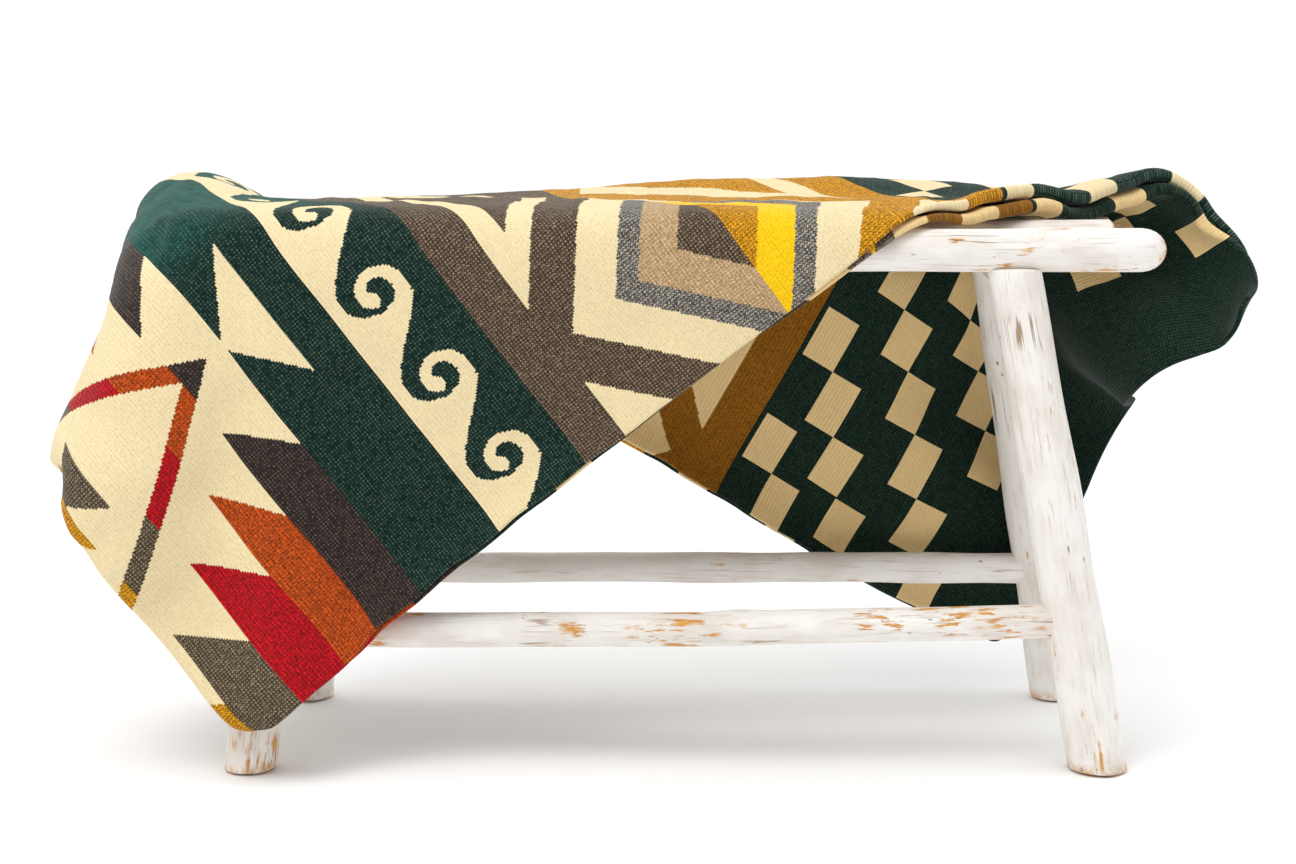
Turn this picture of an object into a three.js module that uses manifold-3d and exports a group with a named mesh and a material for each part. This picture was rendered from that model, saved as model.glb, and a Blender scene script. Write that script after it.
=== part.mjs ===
// A thick patterned blanket, folded in half and thrown diagonally over a small log bench.
// Millimetres, +Z up. The origin is on the floor under the middle of everything; X runs along the bench, +Y to its back.
// The blanket is one sheet with a fold across its middle. Its two leaves follow one middle surface, which hangs under
// its own weight over the poles of the bench: a grid of points at fixed distances, pulled down, held off the wood,
// and steered at a few named places.
import * as THREE from "three";
import { mergeVertices } from "three/addons/utils/BufferGeometryUtils.js";
import Module from "manifold-3d";

const wasm = await Module();
wasm.setup();

// ---------------------------------------------------------------- the bench
const RAIL_Y = 100; // the two rails run at -RAIL_Y and +RAIL_Y
const RAIL_Z = 470.5;
const LEG_TOP = 458; // the legs run up to here, in a saddle under their rail
const LOG_SIDES = 16;
const CHAMFER = 5; // worn edge of a cut end
const GAP = 0.3; // between touching pieces

// Logs along or across the bench: both end centres and radii.
const LOGS = [
  { name: "rail_front", x0: -412, y0: -RAIL_Y, z0: RAIL_Z, r0: 19.5, x1: 462, y1: -RAIL_Y, z1: RAIL_Z, r1: 19.5 },
  { name: "rail_rear", x0: -405, y0: RAIL_Y, z0: RAIL_Z, r0: 19, x1: 455, y1: RAIL_Y, z1: RAIL_Z, r1: 20 },
  { name: "pole_front", x0: -402, y0: -34, z0: 476, r0: 18, x1: 430, y1: -34, z1: 476, r1: 18 },
  { name: "pole_rear", x0: -408, y0: 34, z0: 476, r0: 18, x1: 426, y1: 34, z1: 476, r1: 19 },
  { name: "stretcher_front", x0: -348, y0: -118, z0: 129, r0: 16, x1: 387, y1: -118, z1: 137, r1: 15.5 },
  { name: "stretcher_rear", x0: -338, y0: 118, z0: 136, r0: 15, x1: 394, y1: 118, z1: 136, r1: 15.5 },
  { name: "bearer_left", x0: -312, y0: -RAIL_Y, z0: 443.5, r0: 14, x1: -318, y1: RAIL_Y, z1: 443.5, r1: 14 },
  { name: "bearer_right", x0: 327, y0: -RAIL_Y, z0: 443.5, r0: 14, x1: 339, y1: RAIL_Y, z1: 443.5, r1: 14 },
];
// Legs, splayed outwards: foot centre on the floor, centre at the rail, and both radii.
const LEGS = [
  { name: "leg_front_left", xf: -362, yf: -126, rf: 23.5, xt: -312, yt: -RAIL_Y, rt: 23 },
  { name: "leg_front_right", xf: 410, yf: -126, rf: 27.5, xt: 327, yt: -RAIL_Y, rt: 24 },
  { name: "leg_rear_left", xf: -346, yf: 126, rf: 24, xt: -318, yt: RAIL_Y, rt: 23 },
  { name: "leg_rear_right", xf: 417, yf: 126, rf: 25, xt: 339, yt: RAIL_Y, rt: 23 },
];

// ---------------------------------------------------------------- the blanket
const U_LEN = 580; // along the bands
const V_LEN = 1264; // from the mid fold to the end of the inner leaf
const NU = 22; // cells along the bands
const NV = 48; // cells across them
const SHORT_CELLS = 3; // the outer leaf ends this many cells before the inner one
const LEAF = 5; // thickness of one leaf
const BETWEEN = 3; // air between the leaves
const OFF_WOOD = 12; // middle surface to wood
const FOLD_STEPS = 4; // round the mid fold

// On the seat the front edge isn't pressed flat, and each leaf ends there in a full, soft roll.
const ROLL = { extra: 8, wide: 45, from: 740, full: 860, fade: 1120, to: 1230 }; // thickness gained, width in u, and v of its start and end
const ramp = (x, a, b) => {
  const t = Math.min(1, Math.max(0, (x - a) / (b - a)));
  return t * t * (3 - 2 * t);
};
const plump = (u, v) => ROLL.extra * (1 - ramp(u, 0, ROLL.wide)) * ramp(v, ROLL.from, ROLL.full) * (1 - ramp(v, ROLL.fade, ROLL.to));

// How the flat sheet lies on the bench before it hangs: the corner at u = 0, v = 0 and the bands' direction.
const START = { x: -363, y: -546, z: 520, cos: 0.788, sin: 0.616 };

// Where the sheet is steered: u and v on the cloth, the place in space, and how firmly it is pulled there.
const STEER = [
  { at: "front tip", u: 0, v: 0, x: -342, y: -166, z: 47, pull: 0.25 },
  { at: "front edge", u: 0, v: 79, x: -300, y: -163, z: 90, pull: 0.1 },
  { at: "front edge", u: 0, v: 158, x: -243, y: -158, z: 145, pull: 0.1 },
  { at: "front edge", u: 0, v: 237, x: -180, y: -154, z: 193, pull: 0.1 },
  { at: "front edge", u: 0, v: 316, x: -118, y: -149, z: 241, pull: 0.1 },
  { at: "front edge", u: 0, v: 395, x: -54, y: -145, z: 288, pull: 0.1 },
  { at: "front edge", u: 0, v: 474, x: 9, y: -141, z: 335, pull: 0.1 },
  { at: "front edge", u: 0, v: 553, x: 71, y: -136, z: 383, pull: 0.1 },
  { at: "front edge", u: 0, v: 632, x: 138, y: -133, z: 424, pull: 0.1 },
  { at: "front edge", u: 0, v: 685, x: 183, y: -132, z: 453, pull: 0.1 },
  { at: "mid fold", u: 79, v: 0, x: -402, y: -162, z: 94, pull: 0.08 },
  { at: "mid fold", u: 158, v: 0, x: -449, y: -157, z: 156, pull: 0.08 },
  { at: "mid fold", u: 237, v: 0, x: -496, y: -152, z: 217, pull: 0.08 },
  { at: "ear crease", u: 316, v: 0, x: -491, y: -148, z: 274, pull: 0.2 },
  { at: "ear crease", u: 343, v: 79, x: -485, y: -140, z: 354, pull: 0.15 },
  { at: "ear crease", u: 395, v: 158, x: -463, y: -132, z: 424, pull: 0.08 },
  { at: "ear, turned back", u: 448, v: 0, x: -488, y: -40, z: 275, pull: 0.06 },
  { at: "ear corner", u: 580, v: 0, x: -440, y: 45, z: 290, pull: 0.06 },
  { at: "left end", u: 475, v: 158, x: -462, y: -60, z: 474, pull: 0.14 },
  { at: "left end", u: 527, v: 263, x: -449, y: 20, z: 490, pull: 0.12 },
  { at: "left end", u: 475, v: 290, x: -424, y: 6, z: 524, pull: 0.05 },
  { at: "left end", u: 527, v: 184, x: -466, y: 6, z: 440, pull: 0.1 },
  { at: "left end", u: 580, v: 211, x: -470, y: 48, z: 448, pull: 0.1 },
  { at: "front shoulder", u: 369, v: 263, x: -383, y: -120, z: 495, pull: 0.1 },
  { at: "front shoulder", u: 316, v: 316, x: -309, y: -126, z: 488, pull: 0.1 },
  { at: "front shoulder", u: 264, v: 395, x: -214, y: -122, z: 493, pull: 0.1 },
  { at: "front shoulder", u: 185, v: 474, x: -103, y: -129, z: 482, pull: 0.1 },
  { at: "front shoulder", u: 132, v: 527, x: -29, y: -131, z: 473, pull: 0.1 },
  { at: "front shoulder", u: 79, v: 606, x: 65, y: -130, z: 480, pull: 0.1 },
  { at: "front shoulder", u: 26, v: 685, x: 160, y: -127, z: 487, pull: 0.1 },
  { at: "rear shoulder", u: 554, v: 474, x: -333, y: 131, z: 478, pull: 0.12 },
  { at: "rear shoulder", u: 501, v: 553, x: -239, y: 128, z: 484, pull: 0.12 },
  { at: "rear shoulder", u: 448, v: 658, x: -121, y: 130, z: 479, pull: 0.12 },
  { at: "rear shoulder", u: 395, v: 737, x: -26, y: 128, z: 486, pull: 0.12 },
  { at: "rear shoulder", u: 343, v: 843, x: 91, y: 130, z: 480, pull: 0.12 },
  { at: "rear shoulder", u: 290, v: 922, x: 186, y: 127, z: 487, pull: 0.12 },
  { at: "rear shoulder", u: 237, v: 1027, x: 304, y: 129, z: 482, pull: 0.12 },
  { at: "rear shoulder", u: 185, v: 1106, x: 398, y: 126, z: 488, pull: 0.12 },
  { at: "rear edge", u: 580, v: 1211, x: 317, y: 157, z: 75, pull: 0.1 },
  { at: "rear edge", u: 580, v: 1159, x: 268, y: 156, z: 95, pull: 0.1 },
  { at: "rear edge", u: 580, v: 1106, x: 222, y: 154, z: 120, pull: 0.1 },
  { at: "rear edge", u: 580, v: 1027, x: 156, y: 152, z: 164, pull: 0.1 },
  { at: "rear edge", u: 580, v: 948, x: 89, y: 150, z: 205, pull: 0.1 },
  { at: "rear edge", u: 580, v: 869, x: 21, y: 147, z: 247, pull: 0.1 },
  { at: "rear edge", u: 580, v: 790, x: -46, y: 145, z: 287, pull: 0.1 },
  { at: "rear edge", u: 580, v: 711, x: -115, y: 143, z: 326, pull: 0.1 },
  { at: "rear tip", u: 580, v: 1264, x: 366, y: 158, z: 47, pull: 0.12 },
  { at: "rear end", u: 475, v: 1264, x: 421, y: 160, z: 143, pull: 0.1 },
  { at: "rear end", u: 369, v: 1264, x: 472, y: 160, z: 237, pull: 0.1 },
  { at: "rear end", u: 290, v: 1264, x: 511, y: 160, z: 307, pull: 0.1 },
  { at: "right corner", u: 0, v: 1264, x: 547, y: -30, z: 414, pull: 0.1 },
  { at: "right edge", u: 0, v: 816, x: 322, y: -62, z: 501, pull: 0.06 },
  { at: "right edge", u: 0, v: 922, x: 395, y: -2, z: 517, pull: 0.06 },
  { at: "right edge", u: 0, v: 1027, x: 458, y: 45, z: 514, pull: 0.08 },
  { at: "right edge", u: 0, v: 1132, x: 520, y: 50, z: 478, pull: 0.06 },
  { at: "right end", u: 132, v: 1001, x: 440, y: 95, z: 515, pull: 0.05 },
];

// How the sheet moves while it settles.
const STEPS = 420;
const PASSES = 10;
const STEP_S = 1 / 120;
const GRAVITY = 9810;
const MOST_SPEED = 3000;
const GRIP = 0.8; // share of a sliding move that the wood stops
const SELF = 17; // the sheet keeps this far from itself
const FLOOR = 12;
const SHEAR = 0.25;
const BEND = 0.12; // over two cells
const BEND_WIDE = 0.05; // over four cells

const DU = U_LEN / NU;
const DV = V_LEN / NV;
const COUNT = (NU + 1) * (NV + 1);
const at = (i, j) => 3 * (j * (NU + 1) + i);

// Where a leaf is thicker its middle surface stays that much further off the wood.
const LIFT = Float64Array.from({ length: COUNT }, (_, k) => plump((k % (NU + 1)) * DU, Math.floor(k / (NU + 1)) * DV));

// Rows of point pairs that keep a distance; the rows touch each point once, so their order inside a row is free.
function ties() {
  const rows = [];
  const row = (di, dj, length, firm, onlyShort, pick) => {
    const pairs = [];
    for (let j = 0; j + dj <= NV; j++)
      for (let i = 0; i <= NU; i++) {
        const k = i + di;
        if (k < 0 || k > NU || !pick(i, j)) continue;
        pairs.push(at(i, j), at(k, j + dj));
      }
    rows.push({ pairs, length, firm, onlyShort });
  };
  const slant = Math.sqrt(DU * DU + DV * DV);
  for (const s of [0, 1]) row(1, 0, DU, 1, false, (i) => i % 2 === s);
  for (const s of [0, 1]) row(0, 1, DV, 1, false, (i, j) => j % 2 === s);
  for (const s of [0, 1]) {
    row(1, 1, slant, SHEAR, false, (i, j) => j % 2 === s);
    row(-1, 1, slant, SHEAR, false, (i, j) => j % 2 === s);
  }
  for (const s of [0, 1]) {
    row(2, 0, 2 * DU, BEND, true, (i) => (i >> 1) % 2 === s);
    row(0, 2, 2 * DV, BEND, true, (i, j) => (j >> 1) % 2 === s);
  }
  for (const s of [0, 1]) {
    row(4, 0, 4 * DU, BEND_WIDE, true, (i) => (i >> 2) % 2 === s);
    row(0, 4, 4 * DV, BEND_WIDE, true, (i, j) => (j >> 2) % 2 === s);
  }
  return rows;
}

// The poles that the cloth can touch, as round bars.
const BARS = [
  ...LOGS.filter((l) => !l.name.startsWith("bearer")),
  ...LEGS.map((l) => ({ x0: l.xf, y0: l.yf, z0: 0, r0: l.rf, x1: l.xt, y1: l.yt, z1: LEG_TOP, r1: l.rt })),
];

// Moves the points that are too near the wood out to OFF_WOOD from it. Points that slid from P are held back by GRIP.
function offWood(X, P) {
  for (const { x0, y0, z0, r0, x1, y1, z1, r1 } of BARS) {
    const ax = x1 - x0,
      ay = y1 - y0,
      az = z1 - z0,
      l2 = ax * ax + ay * ay + az * az;
    for (let k = 0; k < 3 * COUNT; k += 3) {
      const t = Math.min(1, Math.max(0, ((X[k] - x0) * ax + (X[k + 1] - y0) * ay + (X[k + 2] - z0) * az) / l2));
      const dx = X[k] - x0 - t * ax,
        dy = X[k + 1] - y0 - t * ay,
        dz = X[k + 2] - z0 - t * az;
      const d = Math.max(Math.sqrt(dx * dx + dy * dy + dz * dz), 1e-9),
        reach = r0 + t * (r1 - r0) + OFF_WOOD + LIFT[k / 3];
      if (d >= reach) continue;
      const s = reach / d;
      X[k] = x0 + t * ax + dx * s;
      X[k + 1] = y0 + t * ay + dy * s;
      X[k + 2] = z0 + t * az + dz * s;
      if (!P) continue;
      const mx = X[k] - P[k],
        my = X[k + 1] - P[k + 1],
        mz = X[k + 2] - P[k + 2];
      const n = (mx * dx + my * dy + mz * dz) / (d * d);
      X[k] -= GRIP * (mx - n * dx);
      X[k + 1] -= GRIP * (my - n * dy);
      X[k + 2] -= GRIP * (mz - n * dz);
    }
  }
  for (let k = 2; k < 3 * COUNT; k += 3) X[k] = Math.max(X[k], FLOOR);
}

function settle() {
  const X = new Float64Array(3 * COUNT);
  for (let j = 0; j <= NV; j++)
    for (let i = 0; i <= NU; i++) {
      const u = i * DU,
        v = j * DV,
        k = at(i, j);
      X[k] = START.x - u * START.sin + v * START.cos;
      X[k + 1] = START.y + u * START.cos + v * START.sin;
      X[k + 2] = START.z;
    }
  const P = X.slice(),
    V = new Float64Array(3 * COUNT);
  const rows = ties();
  const steer = STEER.map((s) => ({ k: at(Math.round(s.u / DU), Math.round(s.v / DV)), to: [s.x, s.y, s.z], pull: s.pull }));

  const keep = ({ pairs, length, firm, onlyShort }) => {
    for (let m = 0; m < pairs.length; m += 2) {
      const p = pairs[m],
        q = pairs[m + 1];
      const x = X[q] - X[p],
        y = X[q + 1] - X[p + 1],
        z = X[q + 2] - X[p + 2];
      const d = Math.sqrt(x * x + y * y + z * z);
      if (onlyShort && d >= length) continue;
      const f = (0.5 * firm * (d - length)) / Math.max(d, 1e-9);
      X[p] += x * f;
      X[p + 1] += y * f;
      X[p + 2] += z * f;
      X[q] -= x * f;
      X[q + 1] -= y * f;
      X[q + 2] -= z * f;
    }
  };
  // Moves of all pairs are summed first and then made together, so the order doesn't matter.
  const D = new Float64Array(3 * COUNT);
  const offSelf = () => {
    D.fill(0);
    for (let a = 0; a < COUNT; a++) {
      const ia = a % (NU + 1),
        ja = Math.floor(a / (NU + 1)),
        p = 3 * a;
      for (let b = a + 1; b < COUNT; b++) {
        const q = 3 * b,
          x = X[q] - X[p];
        if (x >= SELF || x <= -SELF) continue;
        const y = X[q + 1] - X[p + 1],
          z = X[q + 2] - X[p + 2];
        const d = Math.sqrt(x * x + y * y + z * z);
        if (d >= SELF) continue;
        if (Math.abs(ia - (b % (NU + 1))) <= 2 && Math.abs(ja - Math.floor(b / (NU + 1))) <= 2) continue;
        const f = (0.5 * (SELF - d)) / Math.max(d, 1e-9);
        D[p] -= x * f;
        D[p + 1] -= y * f;
        D[p + 2] -= z * f;
        D[q] += x * f;
        D[q + 1] += y * f;
        D[q + 2] += z * f;
      }
    }
    for (let k = 0; k < 3 * COUNT; k++) X[k] += D[k];
  };

  for (let step = 0; step < STEPS; step++) {
    const keepSpeed = step < 0.7 * STEPS ? 0.985 : 0.95;
    for (let k = 0; k < 3 * COUNT; k += 3) {
      for (let c = 0; c < 3; c++) {
        P[k + c] = X[k + c];
        V[k + c] *= keepSpeed;
      }
      V[k + 2] -= GRAVITY * STEP_S;
      const speed = Math.sqrt(V[k] * V[k] + V[k + 1] * V[k + 1] + V[k + 2] * V[k + 2]);
      const share = Math.min(1, MOST_SPEED / Math.max(speed, 1e-9));
      for (let c = 0; c < 3; c++) {
        V[k + c] *= share;
        X[k + c] += V[k + c] * STEP_S;
      }
    }
    for (let pass = 0; pass < PASSES; pass++) {
      for (const { k, to, pull } of steer) for (let c = 0; c < 3; c++) X[k + c] += (to[c] - X[k + c]) * pull;
      rows.forEach(keep);
      offWood(X, P);
    }
    if (step % 2 === 1) offSelf();
    for (let k = 0; k < 3 * COUNT; k++) V[k] = (X[k] - P[k]) / STEP_S;
  }
  return X;
}

// The middle surface evened out a little, which takes out the points of the steering but leaves the outline.
const EVEN_TIMES = 2;
const EVEN_SHARE = 0.35;
function even(X) {
  for (let n = 0; n < EVEN_TIMES; n++) {
    const Y = X.slice();
    for (let j = 0; j <= NV; j++)
      for (let i = 0; i <= NU; i++)
        for (let c = 0; c < 3; c++) {
          const k = at(i, j) + c;
          let pull = 0;
          if (i > 0 && i < NU) pull += X[at(i - 1, j) + c] + X[at(i + 1, j) + c] - 2 * X[k];
          if (j > 0 && j < NV) pull += X[at(i, j - 1) + c] + X[at(i, j + 1) + c] - 2 * X[k];
          Y[k] = X[k] + (EVEN_SHARE * pull) / 4;
        }
    X = Y;
    offWood(X);
  }
  return X;
}

const middle = even(settle());
const point = (i, j) => new THREE.Vector3().fromArray(middle, at(i, j));

function along(i, j) {
  return point(i, Math.min(NV, j + 1)).sub(point(i, Math.max(0, j - 1)));
}
function normal(i, j) {
  const a = point(Math.min(NU, i + 1), j).sub(point(Math.max(0, i - 1), j));
  return along(i, j).cross(a).normalize();
}

// The section of the folded sheet at one u: from the outer leaf's end, round the mid fold, to the inner leaf's end.
// reach is the distance of the section's skin from the middle surface.
function section(i, reach, isSkin) {
  const line = [];
  const far = (j) => reach + (isSkin ? LIFT[at(i, j) / 3] : 0);
  for (let j = NV - SHORT_CELLS; j >= 0; j--) line.push(point(i, j).addScaledVector(normal(i, j), far(j)));
  const out = along(i, 0).normalize().negate(),
    up = normal(i, 0);
  for (let s = 1; s < FOLD_STEPS; s++) {
    const turn = (Math.PI * s) / FOLD_STEPS;
    line.push(
      point(i, 0)
        .addScaledVector(out, reach * Math.sin(turn))
        .addScaledVector(up, reach * Math.cos(turn)),
    );
  }
  for (let j = 0; j <= NV; j++) line.push(point(i, j).addScaledVector(normal(i, j), -far(j)));
  return line;
}

function blanketGeometry() {
  const skins = [
    [LEAF + BETWEEN / 2, true],
    [BETWEEN / 2, false],
  ].map(([reach, isSkin]) => Array.from({ length: NU + 1 }, (_, i) => section(i, reach, isSkin)));
  const rowsOf = skins[0][0].length;
  const position = [];
  for (const skin of skins) for (const line of skin) for (const p of line) position.push(p.x, p.y, p.z);
  const vertex = (skin, i, k) => (skin * (NU + 1) + i) * rowsOf + k;
  const index = [];
  const quad = (a, b, c, d) => index.push(a, b, c, a, c, d); // split from a to c
  for (let i = 0; i < NU; i++)
    for (let k = 0; k + 1 < rowsOf; k++) {
      // The split runs along the rails, so that the facets bend round them.
      const outerLeaf = k < NV - SHORT_CELLS + FOLD_STEPS / 2;
      const o = [vertex(0, i, k), vertex(0, i + 1, k), vertex(0, i + 1, k + 1), vertex(0, i, k + 1)];
      const n = [vertex(1, i, k), vertex(1, i + 1, k), vertex(1, i + 1, k + 1), vertex(1, i, k + 1)];
      if (outerLeaf) {
        quad(o[0], o[1], o[2], o[3]);
        quad(n[2], n[1], n[0], n[3]);
      } else {
        quad(o[1], o[2], o[3], o[0]);
        quad(n[1], n[0], n[3], n[2]);
      }
    }
  for (let k = 0; k + 1 < rowsOf; k++) {
    quad(vertex(0, 0, k), vertex(0, 0, k + 1), vertex(1, 0, k + 1), vertex(1, 0, k));
    quad(vertex(0, NU, k + 1), vertex(0, NU, k), vertex(1, NU, k), vertex(1, NU, k + 1));
  }
  for (let i = 0; i < NU; i++) {
    const e = rowsOf - 1;
    quad(vertex(0, i + 1, 0), vertex(0, i, 0), vertex(1, i, 0), vertex(1, i + 1, 0));
    quad(vertex(0, i, e), vertex(0, i + 1, e), vertex(1, i + 1, e), vertex(1, i, e));
  }
  const g = new THREE.BufferGeometry();
  g.setAttribute("position", new THREE.Float32BufferAttribute(position, 3));
  g.setIndex(index);
  return g;
}

// ---------------------------------------------------------------- solids and cuts
function solid(geometry) {
  const g = geometry.clone();
  g.deleteAttribute("normal");
  g.deleteAttribute("uv");
  const merged = mergeVertices(g, 1e-3);
  const old = merged.index.array,
    triangles = [];
  for (let t = 0; t < old.length; t += 3)
    if (old[t] !== old[t + 1] && old[t + 1] !== old[t + 2] && old[t] !== old[t + 2]) triangles.push(old[t], old[t + 1], old[t + 2]);
  return new wasm.Manifold(
    new wasm.Mesh({ numProp: 3, vertProperties: merged.attributes.position.array, triVerts: new Uint32Array(triangles) }),
  );
}
function geometryOf(manifold) {
  const { vertProperties, triVerts } = manifold.getMesh();
  const g = new THREE.BufferGeometry();
  g.setAttribute("position", new THREE.BufferAttribute(vertProperties, 3));
  g.setIndex(new THREE.BufferAttribute(triVerts, 1));
  g.computeVertexNormals();
  return g;
}

// A round log from one end to the other, with worn ends; grown is added to its radius.
function logSolid({ x0, y0, z0, r0, x1, y1, z1, r1 }, grown = 0) {
  const from = new THREE.Vector3(x0, y0, z0),
    to = new THREE.Vector3(x1, y1, z1),
    length = from.distanceTo(to);
  const profile = [
    [0, 0],
    [r0 + grown - CHAMFER, 0],
    [r0 + grown, CHAMFER],
    [r1 + grown, length - CHAMFER],
    [r1 + grown - CHAMFER, length],
    [0, length],
  ].map(([r, h]) => new THREE.Vector2(r, h));
  const g = new THREE.LatheGeometry(profile, LOG_SIDES);
  g.applyQuaternion(new THREE.Quaternion().setFromUnitVectors(new THREE.Vector3(0, 1, 0), to.clone().sub(from).normalize()));
  g.translate(from.x, from.y, from.z);
  return solid(g);
}
function boxSolid(x0, x1, y0, y1, z0, z1) {
  const g = new THREE.BoxGeometry(x1 - x0, y1 - y0, z1 - z0);
  g.translate((x0 + x1) / 2, (y0 + y1) / 2, (z0 + z1) / 2);
  return solid(g);
}
// A leg as a bar that runs on past the floor and past its rail, to be cut off square to the floor.
function legBar({ xf, yf, rf, xt, yt, rt }) {
  const past = 60 / RAIL_Z;
  return {
    x0: xf + (xf - xt) * past,
    y0: yf + (yf - yt) * past,
    z0: -60,
    r0: rf + (rf - rt) * past,
    x1: xt,
    y1: yt,
    z1: RAIL_Z,
    r1: rt,
  };
}

const logNamed = (name) => LOGS.find((l) => l.name === name);
const side = (name) => (name.includes("front") ? "front" : "rear");
const pieces = new Map();
const slab = boxSolid(-600, 600, -300, 300, 0, LEG_TOP);
for (const leg of LEGS) {
  const rail = logSolid(logNamed("rail_" + side(leg.name)), GAP);
  pieces.set(leg.name, logSolid(legBar(leg)).intersect(slab).subtract(rail));
}
for (const log of LOGS) {
  let s = logSolid(log);
  if (log.name.startsWith("stretcher"))
    for (const leg of LEGS) if (side(leg.name) === side(log.name)) s = s.subtract(logSolid(legBar(leg), GAP));
  if (log.name.startsWith("bearer")) {
    for (const upper of ["rail_front", "rail_rear", "pole_front", "pole_rear"]) s = s.subtract(logSolid(logNamed(upper), GAP));
    for (const leg of LEGS) s = s.subtract(logSolid(legBar(leg), GAP));
  }
  pieces.set(log.name, s);
}

// ---------------------------------------------------------------- the object
const group = new THREE.Group();
const wool = new THREE.MeshStandardMaterial({ color: 0x1c4038, roughness: 0.95, metalness: 0 });
wool.side = THREE.FrontSide;
group.add(new THREE.Mesh(blanketGeometry(), wool));
group.children[0].name = "blanket";
for (const [name, s] of pieces) {
  const mesh = new THREE.Mesh(geometryOf(s), new THREE.MeshStandardMaterial({ color: 0xefe9e0, roughness: 0.75, metalness: 0 }));
  mesh.name = name;
  group.add(mesh);
}
// The origin goes under the middle of the whole object.
const whole = new THREE.Box3().setFromObject(group, true);
const centre = whole.getCenter(new THREE.Vector3());
for (const mesh of group.children) mesh.geometry.translate(-centre.x, -centre.y, 0);

export default group;
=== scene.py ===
"""A thick patterned alpaca blanket, folded in half and thrown diagonally over a small whitewashed log bench.

The cloth's middle surface is worked out as in the CAD model, from the same tables, and then gets its full thickness,
rounded edges, creases and fine unevenness. Its design is drawn from named sizes by material nodes.
"""

import math

import bpy
import numpy as np
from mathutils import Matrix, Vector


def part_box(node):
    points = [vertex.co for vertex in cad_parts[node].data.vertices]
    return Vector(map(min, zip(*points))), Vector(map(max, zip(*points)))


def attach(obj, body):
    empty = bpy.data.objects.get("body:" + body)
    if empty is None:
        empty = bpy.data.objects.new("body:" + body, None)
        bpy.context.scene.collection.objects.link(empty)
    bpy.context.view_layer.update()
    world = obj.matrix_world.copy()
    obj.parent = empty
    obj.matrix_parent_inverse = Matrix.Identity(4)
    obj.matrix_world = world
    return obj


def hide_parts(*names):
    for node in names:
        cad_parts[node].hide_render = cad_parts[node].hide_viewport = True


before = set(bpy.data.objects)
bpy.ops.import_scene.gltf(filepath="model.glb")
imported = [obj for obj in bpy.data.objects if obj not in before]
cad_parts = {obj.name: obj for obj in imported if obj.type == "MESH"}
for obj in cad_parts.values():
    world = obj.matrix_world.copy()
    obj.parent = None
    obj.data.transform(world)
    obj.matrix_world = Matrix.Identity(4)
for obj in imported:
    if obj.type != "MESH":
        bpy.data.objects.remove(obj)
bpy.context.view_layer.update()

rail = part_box("rail_front")

# ---------------------------------------------------------------- the bench and the sheet, in mm, as in the CAD
# name, then each end's centre x, y, z and radius, in mm
LOGS = [
    ("rail_front", -412, -100, 470.5, 19.5, 462, -100, 470.5, 19.5),
    ("rail_rear", -405, 100, 470.5, 19, 455, 100, 470.5, 20),
    ("pole_front", -402, -34, 476, 18, 430, -34, 476, 18),
    ("pole_rear", -408, 34, 476, 18, 426, 34, 476, 19),
    ("stretcher_front", -348, -118, 129, 16, 387, -118, 137, 15.5),
    ("stretcher_rear", -338, 118, 136, 15, 394, 118, 136, 15.5),
    ("bearer_left", -312, -100, 443.5, 14, -318, 100, 443.5, 14),
    ("bearer_right", 327, -100, 443.5, 14, 339, 100, 443.5, 14),
]
# name, foot x, y and radius, top x, y and radius
LEGS = [
    ("leg_front_left", -362, -126, 23.5, -312, -100, 23),
    ("leg_front_right", 410, -126, 27.5, 327, -100, 24),
    ("leg_rear_left", -346, 126, 24, -318, 100, 23),
    ("leg_rear_right", 417, 126, 25, 339, 100, 23),
]
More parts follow.
